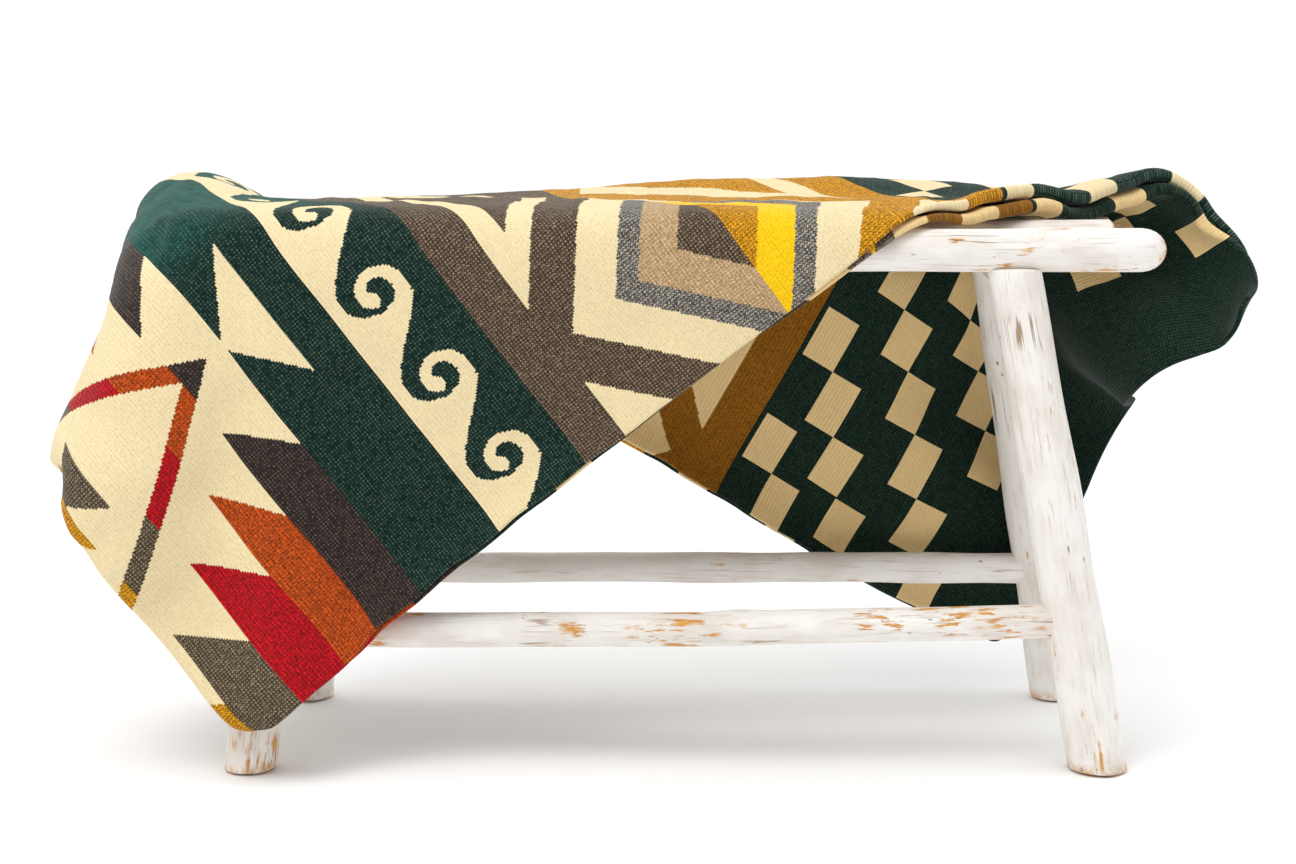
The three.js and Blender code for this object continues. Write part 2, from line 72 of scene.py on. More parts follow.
# u and v on the cloth, the place x, y, z and the pull
STEER = [
    (0, 0, -342, -166, 47, 0.25),  # front tip
    (0, 79, -300, -163, 90, 0.1),  # front edge
    (0, 158, -243, -158, 145, 0.1),
    (0, 237, -180, -154, 193, 0.1),
    (0, 316, -118, -149, 241, 0.1),
    (0, 395, -54, -145, 288, 0.1),
    (0, 474, 9, -141, 335, 0.1),
    (0, 553, 71, -136, 383, 0.1),
    (0, 632, 138, -133, 424, 0.1),
    (0, 685, 183, -132, 453, 0.1),
    (79, 0, -402, -162, 94, 0.08),  # mid fold
    (158, 0, -449, -157, 156, 0.08),
    (237, 0, -496, -152, 217, 0.08),
    (316, 0, -491, -148, 274, 0.2),  # ear crease
    (343, 79, -485, -140, 354, 0.15),
    (395, 158, -463, -132, 424, 0.08),
    (448, 0, -488, -40, 275, 0.06),  # ear
    (580, 0, -440, 45, 290, 0.06),  # ear corner
    (475, 158, -462, -60, 474, 0.14),  # left end
    (527, 263, -449, 20, 490, 0.12),
    (475, 290, -424, 6, 524, 0.05),
    (527, 184, -466, 6, 440, 0.1),
    (580, 211, -470, 48, 448, 0.1),
    (369, 263, -383, -120, 495, 0.1),  # front shoulder
    (316, 316, -309, -126, 488, 0.1),
    (264, 395, -214, -122, 493, 0.1),
    (185, 474, -103, -129, 482, 0.1),
    (132, 527, -29, -131, 473, 0.1),
    (79, 606, 65, -130, 480, 0.1),
    (26, 685, 160, -127, 487, 0.1),
    (554, 474, -333, 131, 478, 0.12),  # rear shoulder
    (501, 553, -239, 128, 484, 0.12),
    (448, 658, -121, 130, 479, 0.12),
    (395, 737, -26, 128, 486, 0.12),
    (343, 843, 91, 130, 480, 0.12),
    (290, 922, 186, 127, 487, 0.12),
    (237, 1027, 304, 129, 482, 0.12),
    (185, 1106, 398, 126, 488, 0.12),
    (580, 1211, 317, 157, 75, 0.1),  # rear edge
    (580, 1159, 268, 156, 95, 0.1),
    (580, 1106, 222, 154, 120, 0.1),
    (580, 1027, 156, 152, 164, 0.1),
    (580, 948, 89, 150, 205, 0.1),
    (580, 869, 21, 147, 247, 0.1),
    (580, 790, -46, 145, 287, 0.1),
    (580, 711, -115, 143, 326, 0.1),
    (580, 1264, 366, 158, 47, 0.12),  # rear tip
    (475, 1264, 421, 160, 143, 0.1),  # rear end
    (369, 1264, 472, 160, 237, 0.1),
    (290, 1264, 511, 160, 307, 0.1),
    (0, 1264, 547, -30, 414, 0.1),  # right corner
    (0, 816, 322, -62, 501, 0.06),  # right edge
    (0, 922, 395, -2, 517, 0.06),
    (0, 1027, 458, 45, 514, 0.08),
    (0, 1132, 520, 50, 478, 0.06),
    (132, 1001, 440, 95, 515, 0.05),  # right end
]
LEG_TOP = 458
U_LEN, V_LEN, NU, NV = 580.0, 1264.0, 22, 48  # the inner leaf, and its cells
SHORT_CELLS = 3  # the outer leaf ends this many cells before it
LEAF, BETWEEN, OFF_WOOD = 5.0, 3.0, 12.0
START = dict(x=-363.0, y=-546.0, z=520.0, cos=0.788, sin=0.616)
STEPS, PASSES, STEP_S, GRAVITY, MOST_SPEED = 420, 10, 1 / 120, 9810, 3000
GRIP, SELF, FLOOR, SHEAR, BEND, BEND_WIDE = 0.8, 17, 12, 0.25, 0.12, 0.05
EVEN_TIMES, EVEN_SHARE = 2, 0.35
ROLL = dict(extra=8, wide=45, start=740, full=860, fade=1120, end=1230)
DU, DV = U_LEN / NU, V_LEN / NV
V_OUT = V_LEN - SHORT_CELLS * DV
COUNT = (NU + 1) * (NV + 1)
BARS = [row[1:] for row in LOGS if not row[0].startswith("bearer")]
BARS += [(xf, yf, 0, rf, xt, yt, LEG_TOP, rt) for _, xf, yf, rf, xt, yt, rt in LEGS]


def ramp(x, a, b):
    t = np.clip((x - a) / (b - a), 0, 1)
    return t * t * (3 - 2 * t)


def plump(u, v):
    """How much thicker a leaf is where its edge lies in a full roll."""
    return ROLL["extra"] * (1 - ramp(u, 0, ROLL["wide"])) * ramp(v, ROLL["start"], ROLL["full"]) * (1 - ramp(v, ROLL["fade"], ROLL["end"]))


GRID_I, GRID_J = np.tile(np.arange(NU + 1), NV + 1), np.repeat(np.arange(NV + 1), NU + 1)
LIFT = plump(GRID_I * DU, GRID_J * DV)


def at(i, j):
    return j * (NU + 1) + i


def ties():
    """Rows of point pairs that keep a distance. A row touches each point once."""
    rows = []

    def row(di, dj, length, firm, only_short, pick):
        pairs = np.array([(at(i, j), at(i + di, j + dj)) for j in range(NV + 1 - dj) for i in range(NU + 1) if 0 <= i + di <= NU and pick(i, j)])
        rows.append((pairs[:, 0], pairs[:, 1], length, firm, only_short))

    slant = math.sqrt(DU * DU + DV * DV)
    for s in (0, 1):
        row(1, 0, DU, 1, False, lambda i, j: i % 2 == s)
    for s in (0, 1):
        row(0, 1, DV, 1, False, lambda i, j: j % 2 == s)
    for s in (0, 1):
        row(1, 1, slant, SHEAR, False, lambda i, j: j % 2 == s)
        row(-1, 1, slant, SHEAR, False, lambda i, j: j % 2 == s)
    for s in (0, 1):
        row(2, 0, 2 * DU, BEND, True, lambda i, j: (i >> 1) % 2 == s)
        row(0, 2, 2 * DV, BEND, True, lambda i, j: (j >> 1) % 2 == s)
    for s in (0, 1):
        row(4, 0, 4 * DU, BEND_WIDE, True, lambda i, j: (i >> 2) % 2 == s)
        row(0, 4, 4 * DV, BEND_WIDE, True, lambda i, j: (j >> 2) % 2 == s)
    return rows


def size_of(D):
    return np.sqrt(D[:, 0] * D[:, 0] + D[:, 1] * D[:, 1] + D[:, 2] * D[:, 2])


def off_wood(X, P=None):
    """Moves points that are too near a pole out to OFF_WOOD from it. The wood's grip holds back what slid from P."""
    for x0, y0, z0, r0, x1, y1, z1, r1 in BARS:
        start, ax = np.array((x0, y0, z0), float), np.array((x1 - x0, y1 - y0, z1 - z0), float)
        l2 = ax[0] * ax[0] + ax[1] * ax[1] + ax[2] * ax[2]
        F = X - start
        t = np.minimum(1, np.maximum(0, (F[:, 0] * ax[0] + F[:, 1] * ax[1] + F[:, 2] * ax[2]) / l2))
        T = t[:, None] * ax
        D = F - T
        d = np.maximum(size_of(D), 1e-9)
        reach = r0 + t * (r1 - r0) + OFF_WOOD + LIFT
        hit = np.nonzero(d < reach)[0]
        if not len(hit):
            continue
        X[hit] = (start + T)[hit] + D[hit] * (reach[hit] / d[hit])[:, None]
        if P is not None:
            M, N = X[hit] - P[hit], D[hit]
            n = (M[:, 0] * N[:, 0] + M[:, 1] * N[:, 1] + M[:, 2] * N[:, 2]) / (d[hit] * d[hit])
            X[hit] -= GRIP * (M - n[:, None] * N)
    X[:, 2] = np.maximum(X[:, 2], FLOOR)


def settle():
    """The sheet's middle surface: points at fixed distances that fall onto the poles and are steered at a few places."""
    u, v = GRID_I * DU, GRID_J * DV
    X = np.stack([START["x"] - u * START["sin"] + v * START["cos"], START["y"] + u * START["cos"] + v * START["sin"], np.full(COUNT, START["z"])], 1)
    V, rows = np.zeros_like(X), ties()
    near = (np.abs(GRID_I[:, None] - GRID_I) <= 2) & (np.abs(GRID_J[:, None] - GRID_J) <= 2)
    pa, pb = np.nonzero(np.triu(~near, 1))
    sk = np.array([at(math.floor(s[0] / DU + 0.5), math.floor(s[1] / DV + 0.5)) for s in STEER])
    st, sp = np.array([s[2:5] for s in STEER], float), np.array([s[5] for s in STEER])[:, None]
    for step in range(STEPS):
        P = X.copy()
        V *= 0.985 if step < 0.7 * STEPS else 0.95
        V[:, 2] -= GRAVITY * STEP_S
        V *= np.minimum(1, MOST_SPEED / np.maximum(size_of(V), 1e-9))[:, None]
        X = X + V * STEP_S
        for _ in range(PASSES):
            X[sk] += (st - X[sk]) * sp
            for a, b, length, firm, only_short in rows:
                D = X[b] - X[a]
                d = size_of(D)
                f = 0.5 * firm * (d - length) / np.maximum(d, 1e-9)
                if only_short:
                    f = np.where(d >= length, 0, f)
                D *= f[:, None]
                X[a] += D
                X[b] -= D
            off_wood(X, P)
        if step % 2 == 1:
            k = np.nonzero(np.abs(X[pb, 0] - X[pa, 0]) < SELF)[0]
            D = X[pb[k]] - X[pa[k]]
            d = size_of(D)
            h = d < SELF
            k, D, d = k[h], D[h], d[h]
            D = D * (0.5 * (SELF - d) / np.maximum(d, 1e-9))[:, None]
            M = np.zeros_like(X)
            np.add.at(M, np.stack([pa[k], pb[k]], 1).ravel(), np.stack([-D, D], 1).reshape(-1, 3))
            X = X + M
        V = (X - P) / STEP_S
    for _ in range(EVEN_TIMES):
        G = X.reshape(NV + 1, NU + 1, 3)
        pull = np.zeros_like(G)
        pull[:, 1:-1] += G[:, :-2] + G[:, 2:] - 2 * G[:, 1:-1]
        pull[1:-1] += G[:-2] + G[2:] - 2 * G[1:-1]
        X = (G + EVEN_SHARE * pull / 4).reshape(-1, 3)
        off_wood(X)
    return X.reshape(NV + 1, NU + 1, 3)


# ---------------------------------------------------------------- the visible cloth on that sheet
FOLD_STEPS = 10
FOLD_ARC = 20.0  # cloth that goes round the mid fold
OFF_CENTRE = 17.0  # how far the fold lies from the middle of the blanket, past half the arc
STEP_MM = 6.0
PEEK = 4.0  # how far the inner leaf shows beyond the outer one at the front edge
CORNERS = dict(tip=30.0, ear=26.0, ends=14.0)  # how far the corners are rounded

# Creases given as soft troughs (or ridges, if deeper than 0): from u, v to u, v, depth and width.
CREASES = [
    (404, 252, 386, 196, 5.0, 9),  # the fold between the round end and the front flap
    (440, 215, 372, 180, -3.0, 18),
    (62, 212, 4, 236, 3.0, 9),  # a dent at the front edge
    (20, 60, 60, 8, 2.5, 12),  # near the front tip
    (330, 60, 300, 130, 2.5, 22),  # the ear
    (250, 30, 200, 190, -2.0, 34),
    (150, 120, 250, 330, 1.6, 30),
    (90, 330, 200, 420, -1.8, 30),
    (110, 1120, 96, 1240, 3.0, 12),  # the hanging right end
    (60, 1150, 70, 1255, -2.5, 14),
    (150, 1100, 140, 1220, -3.0, 16),
    (6, 1000, 60, 1040, 2.5, 9),  # puckers in the rolls
    (4, 930, 50, 952, 2.0, 9),
    (3, 860, 46, 872, 2.0, 9),
    (3, 1085, 46, 1100, 2.0, 10),
    (300, 560, 360, 700, 1.5, 26),
    (560, 700, 420, 980, 1.6, 34),  # the back flap
    (480, 900, 330, 1180, -1.6, 40),
]


def padded(G):
    """The grid with one more row and column all round, going straight on."""
    G = np.concatenate([2 * G[:1] - G[1:2], G, 2 * G[-1:] - G[-2:-1]], 0)
    return np.concatenate([2 * G[:, :1] - G[:, 1:2], G, 2 * G[:, -1:] - G[:, -2:-1]], 1)


def cubic(x, n):
    """The cell that x is in, and the weights of the four points round it."""
    i = np.clip(np.floor(x).astype(int), 0, n - 1)
    t = x - i
    return i, np.stack([((2 - t) * t - 1) * t / 2, ((3 * t - 5) * t * t + 2) / 2, ((4 - 3 * t) * t + 1) * t / 2, (t - 1) * t * t / 2])


def read(G, u, v):
    """A grid's value at u and v, smooth between its points."""
    i, wi = cubic(u / DU, NU)
    j, wj = cubic(v / DV, NV)
    P, out = padded(G), 0
    for b in range(4):
        for a in range(4):
            out = out + P[j + b, i + a] * (wj[b] * wi[a])[..., None]
    return out


def unit(V):
    return V / np.maximum(np.sqrt((V * V).sum(-1, keepdims=True)), 1e-9)


def frame_of(G):
    """The direction of v and the outer side at each grid point."""
    A = np.concatenate([G[1:2] - G[:1], G[2:] - G[:-2], G[-1:] - G[-2:-1]], 0)
    B = np.concatenate([G[:, 1:2] - G[:, :1], G[:, 2:] - G[:, :-2], G[:, -1:] - G[:, -2:-1]], 1)
    return unit(A), unit(np.cross(A, B))


def rounded(u, v, end, tip, ear):
    """Moves what is near a square corner of the sheet inwards, so that the corner is round."""
    u, v = u.copy(), v.copy()
    for cu, cv, r in ((0, 0, tip), (U_LEN, 0, ear), (0, end, CORNERS["ends"]), (U_LEN, end, CORNERS["ends"])):
        su, sv = (1 if cu == 0 else -1), (1 if cv == 0 else -1)
        a, b = 1 - su * (u - cu) / r, 1 - sv * (v - cv) / r
        near = (a > 0) & (b > 0)
        a2, b2 = a * np.sqrt(np.maximum(0, 1 - b * b / 2)), b * np.sqrt(np.maximum(0, 1 - a * a / 2))
        u = np.where(near, cu + su * r * (1 - a2), u)
        v = np.where(near, cv + sv * r * (1 - b2), v)
    return u, v


def steps(length, step, edge_at_start, edge_at_end):
    """Places along a length, closer together near its free edges."""
    near = np.array([0, 0.25, 0.8, 1.6, 2.6, 4.2, 6.4, 9.5])
    a, b = (near if edge_at_start else near[:1]), (length - near[::-1] if edge_at_end else np.array([length]))
    n = max(2, int(round((b[0] - a[-1]) / step)))
    return np.concatenate([a, np.linspace(a[-1], b[0], n + 1)[1:-1], b])


def wander(u, v, seed, size):
    """Soft unevenness: a few slow waves in seeded directions."""
    rng = np.random.default_rng(seed)
    out = np.zeros_like(u)
    for _ in range(7):
        turn, length, phase = rng.uniform(0, 2 * math.pi), size * rng.uniform(0.6, 1.6), rng.uniform(0, 2 * math.pi)
        out += np.sin(2 * math.pi * (u * math.cos(turn) + v * math.sin(turn)) / length + phase)
    return out / 3.2


def trough(u, v):
    """How far the creases press the surface in."""
    out = np.zeros_like(u)
    for u0, v0, u1, v1, depth, wide in CREASES:
        du, dv = u1 - u0, v1 - v0
        t = np.clip(((u - u0) * du + (v - v0) * dv) / (du * du + dv * dv), 0, 1)
        d2 = (u - u0 - t * du) ** 2 + (v - v0 - t * dv) ** 2
        out += depth * np.exp(-d2 / (wide * wide)) * np.sin(math.pi * (0.12 + 0.76 * t))
    return out


def cloth(G):
    """Both skins of the folded sheet as grids: points, u, and y along the blanket from its middle."""
    A, N = frame_of(G)
    us = steps(U_LEN, STEP_MM, True, True)
    outer, inner = steps(V_OUT, STEP_MM, False, True)[::-1], steps(V_LEN, STEP_MM, False, True)
    turn = np.linspace(0, math.pi, FOLD_STEPS + 1)[1:-1]
    v = np.concatenate([outer, 0 * turn, inner])
    side = np.concatenate([0 * outer + 1, 0 * turn, 0 * inner - 1])
    arc = np.concatenate([0 * outer, turn, 0 * inner + math.pi])
    U, V = np.meshgrid(us, v, indexing="ij")
    S, T = np.broadcast_to(side, U.shape), np.broadcast_to(arc, U.shape)
    end = np.where(S > 0, V_OUT, V_LEN)
    free = np.minimum(np.minimum(U, U_LEN - U), np.where(S == 0, 1e9, end - V))
    Uo, Vo = rounded(U, V, V_OUT, CORNERS["tip"], CORNERS["ear"])
    Ui, Vi = rounded(U, V, V_LEN, CORNERS["tip"], CORNERS["ear"])
    u, v = np.where(S < 0, Ui, Uo), np.where(S < 0, Vi, Vo)
    lift = plump(u, v)
    half = (LEAF + lift) / 2
    full = np.sqrt(np.maximum(0, 1 - (1 - np.minimum(1, free / half)) ** 2))
    middle, up = read(G, u, v), unit(read(N, u, v))
    along = unit(read(A, u, v))
    out = -unit(along - (along * up).sum(-1, keepdims=True) * up)
    press = trough(u, v)
    wave = 0.9 * wander(u, v, 3, 90) + 0.35 * wander(u, v, 5, 34)
    middle = middle + up * (wave - press)[..., None]
    across = unit(np.gradient(middle, axis=0))
    middle = middle - across * (PEEK * (1 - ramp(U, 0, 60)) * np.where(S < 0, ramp(V, 540, 620), 0))[..., None]
    skins = []
    for s in (1, -1):
        reach = BETWEEN / 2 + half * (1 + s * full)
        skins.append(middle + up * (reach * np.cos(T))[..., None] + out * (reach * np.sin(T))[..., None])
    y = np.where(S > 0, OFF_CENTRE + FOLD_ARC / 2 + v, np.where(S < 0, OFF_CENTRE - FOLD_ARC / 2 - v, OFF_CENTRE + FOLD_ARC * (0.5 - T / math.pi)))
    return skins, u, y


def cloth_faces(n, m):
    """Faces of the closed sheet: two skins of n by m points that share their border."""
    first = np.arange(n * m).reshape(n, m)
    second = first.copy()
    second[1:-1, 1:-1] = n * m + np.arange((n - 2) * (m - 2)).reshape(n - 2, m - 2)
    a = np.stack([first[:-1, :-1], first[1:, :-1], first[1:, 1:], first[:-1, 1:]], -1).reshape(-1, 4)
    b = np.stack([second[:-1, :-1], second[:-1, 1:], second[1:, 1:], second[1:, :-1]], -1).reshape(-1, 4)
    return np.concatenate([a, b])


def woven_place(u, y):
    """Where on the blanket's length each point's design is read: the cloth is drawn tighter in places than it lies."""
    outer = -26 * ramp(y, 700, 870) * (1 - 0.5 * ramp(u, 60, 240))
    inner = 61.6 * ramp(-y, 90, 640) - 40 * ramp(-y, 640, 860) * (1 - ramp(u, 15, 160))
    near_end = ramp(-y, 1000, 1100) * (1 - ramp(u, 200, 300))
    inner = inner * (1 - near_end) + (30 + 8 * (1 - ramp(u, 30, 110))) * near_end
    return np.where(y > 0, y + outer, y + inner)


def painted_sheen_at(u, y):
    """Where a painted sheen lightens the pile, standing in for the light it catches at grazing angles where the cloth
    curves away: the round left end of the seat, and a little elsewhere.
    """
    end = ramp(u, 330, 430) * ramp(y, 150, 230) * (1 - ramp(y, 400, 470))
    end = np.maximum(end, 0.8 * ramp(y, 300, 400) * ramp(u + 0.62 * (y - 400), 335, 385) * (1 - ramp(y, 640, 760)))
    return np.clip(end * (1 + 0.35 * wander(u, y, 11, 60)), 0, 1)


# ---------------------------------------------------------------- the woven design, in mm from the blanket's middle
# u runs across the blanket, 0 to 580, and d away from its middle line. The lines take their functions from K, which
# draws them with nodes.
MID_U = 290  # everything but the scrolls and checks is mirrored here
BANDS = [(34, "gold"), (86, "taupe"), (137, "red"), (182, "orange"), (231, "dark_brown"), (420, "green"), (641, "brown"), (862, "gold"), (9999, "green")]
# Stepped teeth: from d to d, and how far from the middle they start at each.
TEETH = [(0, 34, 222, 245), (34, 86, 165, 217), (86, 137, 124, 185), (137, 182, 89, 153), (182, 231, 57, 112), (231, 282, 8, 73)]
SCROLL_FROM, SCROLL_AT, SCROLL_EVERY, SCROLL_U = 322, 366, 91.2, 143.1
# Round a scroll's centre, by the angle in degrees: where the light arm starts, where it ends, and where the wave's back ends.
ARM_IN = [(0, 12.3), (11, 11.6), (36, 9.7), (44, 0.5), (150, 0.5), (176, 4), (180, 14.6), (210, 15.6), (250, 16.4), (285, 15.7), (325, 13.9), (360, 12.3)]
ARM_OUT = [(0, 22.3), (18, 21), (38, 19.9), (57, 18.6), (75, 17), (95, 15.7), (118, 13.7), (142, 11.7), (162, 9.3), (178, 5), (180, 38), (193, 35.1), (211, 31.7), (233, 31.1), (267, 28.1), (285, 27.7), (304, 25.7), (321, 23.9), (340, 22.9), (360, 22.3)]
WAVE_BACK = [(0, 46), (13, 42.4), (36, 37.3), (54, 36.3), (72, 33), (93, 29.3), (111, 23.7), (133, 18.7), (158, 17), (180, 15), (181, 60), (360, 60)]
WAVE_FALL = [(21.4, 29.3), (30, 22.1), (41.4, 9.3), (51.4, -3.6), (60, -13.6), (72.9, -26.4), (82.9, -31.4)]  # between scrolls: the wave's height by the distance on
CHEVRON_MID, CHEVRON_U, CHEVRON_D, LEAN = 334, 102, 641, 1.2  # the chevrons are mirrored a little off the middle
RINGS = [(45, None), (87.5, "tan_or_yellow"), (112.5, "grey"), (160, "cream")]
CHECK_FROM, CHECK_HIGH, CHECK_WIDE, CHECK_EVERY, CHECK_ROWS, CHECK_U = 867.5, 34.6, 54.5, 150, 7, 349


def inside(K, x, a, b):
    return K.gt(x, a) * K.gt(b, x)


def design(K, u, d):
    """What colour the cloth has: a weight of 0 or 1 for each name."""
    s = K.abs(u - MID_U)
    # the teeth, the outline of the big diamond and the stepped tree inside it
    tooth = 0
    st = s + K.gt(u, MID_U) * 7  # they start a little sooner on the ear's side
    for a, b, tip, foot in TEETH:
        tooth = tooth + inside(K, d, a - 0.001, b) * K.gt(st, tip + (d - a) * ((foot - tip) / (b - a)))
    line = K.gt((212 - d) * 0.625, s) * K.gt(s, (182 - d) * 0.62)
    tree = inside(K, d, -1, 34) * K.gt(18 + d * 1.18, s) + inside(K, d, 34, 69) * K.gt((d - 34) * 0.78 + 10, s)
    saw = K.gt(282, d) * (1 - K.max(K.max(tooth, line), tree))
    # the running scrolls
    x = K.mod(u - SCROLL_U + 16, SCROLL_EVERY) - 16
    h = SCROLL_AT - d
    r, turn = K.sqrt(x * x + h * h), K.angle(h, x)
    arm = K.gt(r, K.curve(turn, ARM_IN)) * K.gt(K.curve(turn, ARM_OUT), r)
    near = K.gt(22.5, x)
    field = near * K.gt(r, K.curve(turn, WAVE_BACK)) + (1 - near) * K.gt(h, K.curve(x, WAVE_FALL))
    scroll = inside(K, d, SCROLL_FROM, 415) * K.max(K.max(near * arm, field), K.gt(SCROLL_AT - 37, d))
    # the chevron diamonds, with light triangles between them
    t = K.abs(d - CHEVRON_D)
    c = K.abs(u - CHEVRON_MID)
    k = t + K.abs(c - (CHEVRON_MID - CHEVRON_U)) * (1 / LEAN)
    sm = K.min(c, K.abs(2 * (CHEVRON_MID - CHEVRON_U) - c))
    outer_tri = K.gt((t - 18.3) * LEAN, sm) * K.gt(179, t)
    inner_tri = K.gt((t - 48.3) * LEAN, sm) * K.gt(156, t)
    beyond = K.gt(k, 160)
    middle = inside(K, d, 420, 862)
    light_tri = middle * beyond * outer_tri * (1 - inner_tri)
    ring = {"tan": middle * inside(K, k, 45, 87.5) * K.gt(CHEVRON_D, d), "yellow": middle * inside(K, k, 45, 87.5) * K.gt(d, CHEVRON_D)}
    ring["grey"] = middle * inside(K, k, 87.5, 112.5)
    light_ring = middle * inside(K, k, 112.5, 160)
    # the checks
    row = K.floor((d - CHECK_FROM) * (1 / CHECK_HIGH))
    p = u + K.clamp((u - 30) * (1 / 300)) * 69 - (CHECK_U + 69) - row * CHECK_WIDE
    p = p + K.gt(p, 75) * 25
    check = inside(K, row, -0.5, CHECK_ROWS - 0.5) * K.gt(CHECK_WIDE - 0.5, K.mod(p + 1500, CHECK_EVERY))
    cream = K.clamp(saw + scroll + light_tri + light_ring + check)
    out, left = {"cream": cream}, 1 - cream
    for name, w in ring.items():
        out[name] = w * left
        left = left - out[name]
    a = -9999
    for b, name in BANDS:
        w = left * inside(K, d, a - 0.001, b)
        out[name] = out[name] + w if name in out else w
        a = b
    return out


# ---------------------------------------------------------------- from these sizes to Blender's metres
SHIFT = np.array([rail[0][0] * 1000 - LOGS[0][1], (rail[0][1] + rail[1][1]) * 500 - LOGS[0][2], 0.0])  # the CAD is centred on its own box


def metres(P):
    return (P + SHIFT) / 1000


def new_mesh(name, points, faces, uv=None, fields=None):
    mesh = bpy.data.meshes.new(name)
    mesh.from_pydata(metres(points).tolist(), [], faces if isinstance(faces, list) else faces.tolist())
    mesh.validate()
    if uv is not None:
        layer = mesh.uv_layers.new(name="UVMap")
        loops = np.empty(len(mesh.loops), np.int64)
        mesh.loops.foreach_get("vertex_index", loops)
        layer.data.foreach_set("uv", (uv[loops] / 1000).astype(np.float32).ravel())
    for key, value in (fields or {}).items():
        kind = "FLOAT_VECTOR" if value.ndim == 2 else "FLOAT"
        a = mesh.attributes.new(key, kind, "POINT")
        a.data.foreach_set("vector" if value.ndim == 2 else "value", value.astype(np.float32).ravel())
    mesh.polygons.foreach_set("use_smooth", [True] * len(mesh.polygons))
    mesh.update()
    o = bpy.data.objects.new(name, mesh)
    bpy.context.scene.collection.objects.link(o)
    return o


# ---------------------------------------------------------------- node arithmetic
class Wire:
    """A number in a node tree: arithmetic on wires makes Math nodes."""

    def __init__(self, tree, socket):
        self.tree, self.socket = tree, socket

    def op(self, kind, *others, clamp=False):
        n = self.tree.nodes.new("ShaderNodeMath")
        n.operation, n.use_clamp = kind, clamp
        for k, x in enumerate((self,) + others):
            if isinstance(x, Wire):
                self.tree.links.new(x.socket, n.inputs[k])
            else:
                n.inputs[k].default_value = float(x)
        return Wire(self.tree, n.outputs[0])

    def back(self, kind, other):
        n = self.tree.nodes.new("ShaderNodeMath")
        n.operation = kind
        n.inputs[0].default_value = float(other)
        self.tree.links.new(self.socket, n.inputs[1])
        return Wire(self.tree, n.outputs[0])

    def __add__(self, o):
        return self if not isinstance(o, Wire) and o == 0 else self.op("ADD", o)

    __radd__ = __add__

    def __mul__(self, o):
        return self.op("MULTIPLY", o)

    __rmul__ = __mul__

    def __sub__(self, o):
        return self.op("SUBTRACT", o)

    def __rsub__(self, o):
        return self.back("SUBTRACT", o)

    def __truediv__(self, o):
        return self.op("DIVIDE", o)


class K:
    """The design's functions, as nodes."""

    @staticmethod
    def gt(a, b):
        return a.op("GREATER_THAN", b) if isinstance(a, Wire) else b.op("LESS_THAN", a)

    abs = staticmethod(lambda a: a.op("ABSOLUTE"))
    max = staticmethod(lambda a, b: a.op("MAXIMUM", b) if isinstance(a, Wire) else b.op("MAXIMUM", a))
    min = staticmethod(lambda a, b: a.op("MINIMUM", b))
    sqrt = staticmethod(lambda a: a.op("SQRT"))
    floor = staticmethod(lambda a: a.op("FLOOR"))
    mod = staticmethod(lambda a, b: a.op("FLOORED_MODULO", b))
    clamp = staticmethod(lambda a: a.op("ADD", 0, clamp=True))

    @staticmethod
    def angle(h, x):
        return (h.op("ARCTAN2", x) * (180 / math.pi)).op("FLOORED_MODULO", 360)

    @staticmethod
    def curve(x, table):
        """Straight lines between the table's points."""
        x0, x1 = table[0][0], table[-1][0]
        y0, y1 = min(y for _, y in table), max(y for _, y in table)
        n = x.tree.nodes.new("ShaderNodeFloatCurve")
        line = n.mapping.curves[0]
        points = [((a - x0) / (x1 - x0), (b - y0) / (y1 - y0)) for a, b in table]
        line.points[0].location, line.points[1].location = points[0], points[-1]
        for p in points[1:-1]:
            line.points.new(*p)
        for p in line.points:
            p.handle_type = "VECTOR"
        n.mapping.update()
        x.tree.links.new(((x - x0) * (1 / (x1 - x0))).op("ADD", 0, clamp=True).socket, n.inputs["Value"])
        return Wire(x.tree, n.outputs["Value"]) * (y1 - y0) + y0


def linear(rgb):
    c = np.array(rgb, float) / 255
    return np.where(c <= 0.04045, c / 12.92, ((c + 0.055) / 1.055) ** 2.4)


def new_material(name):
    m = bpy.data.materials.new(name)
    m.use_nodes = True
    tree = m.node_tree
    return m, tree, tree.nodes["Principled BSDF"]


def vector(tree, *parts):
    n = tree.nodes.new("ShaderNodeCombineXYZ")
    for k, p in enumerate(parts):
        if isinstance(p, Wire):
            tree.links.new(p.socket, n.inputs[k])
        else:
            n.inputs[k].default_value = p
    return n.outputs[0]


def noise(tree, at_, scale, detail=2.0, rough=0.5):
    n = tree.nodes.new("ShaderNodeTexNoise")
    n.inputs["Scale"].default_value = scale
    n.inputs["Detail"].default_value = detail
    n.inputs["Roughness"].default_value = rough
    tree.links.new(at_, n.inputs["Vector"])
    return Wire(tree, n.outputs["Fac"])


def coloured(tree, weights, palette):
    """The sum of each palette colour times its weight."""
    out = None
    for name, w in weights.items():
        n = tree.nodes.new("ShaderNodeVectorMath")
        n.operation = "SCALE"
        n.inputs[0].default_value = palette[name]
        tree.links.new(w.socket, n.inputs["Scale"])
        if out is None:
            out = n.outputs[0]
            continue
        s = tree.nodes.new("ShaderNodeVectorMath")
        s.operation = "ADD"
        tree.links.new(out, s.inputs[0])
        tree.links.new(n.outputs[0], s.inputs[1])
        out = s.outputs[0]
    return out


def scaled(tree, colour, factor):
    n = tree.nodes.new("ShaderNodeVectorMath")
    n.operation = "SCALE"
    tree.links.new(colour, n.inputs[0])
    tree.links.new(factor.socket, n.inputs["Scale"])
    return n.outputs[0]


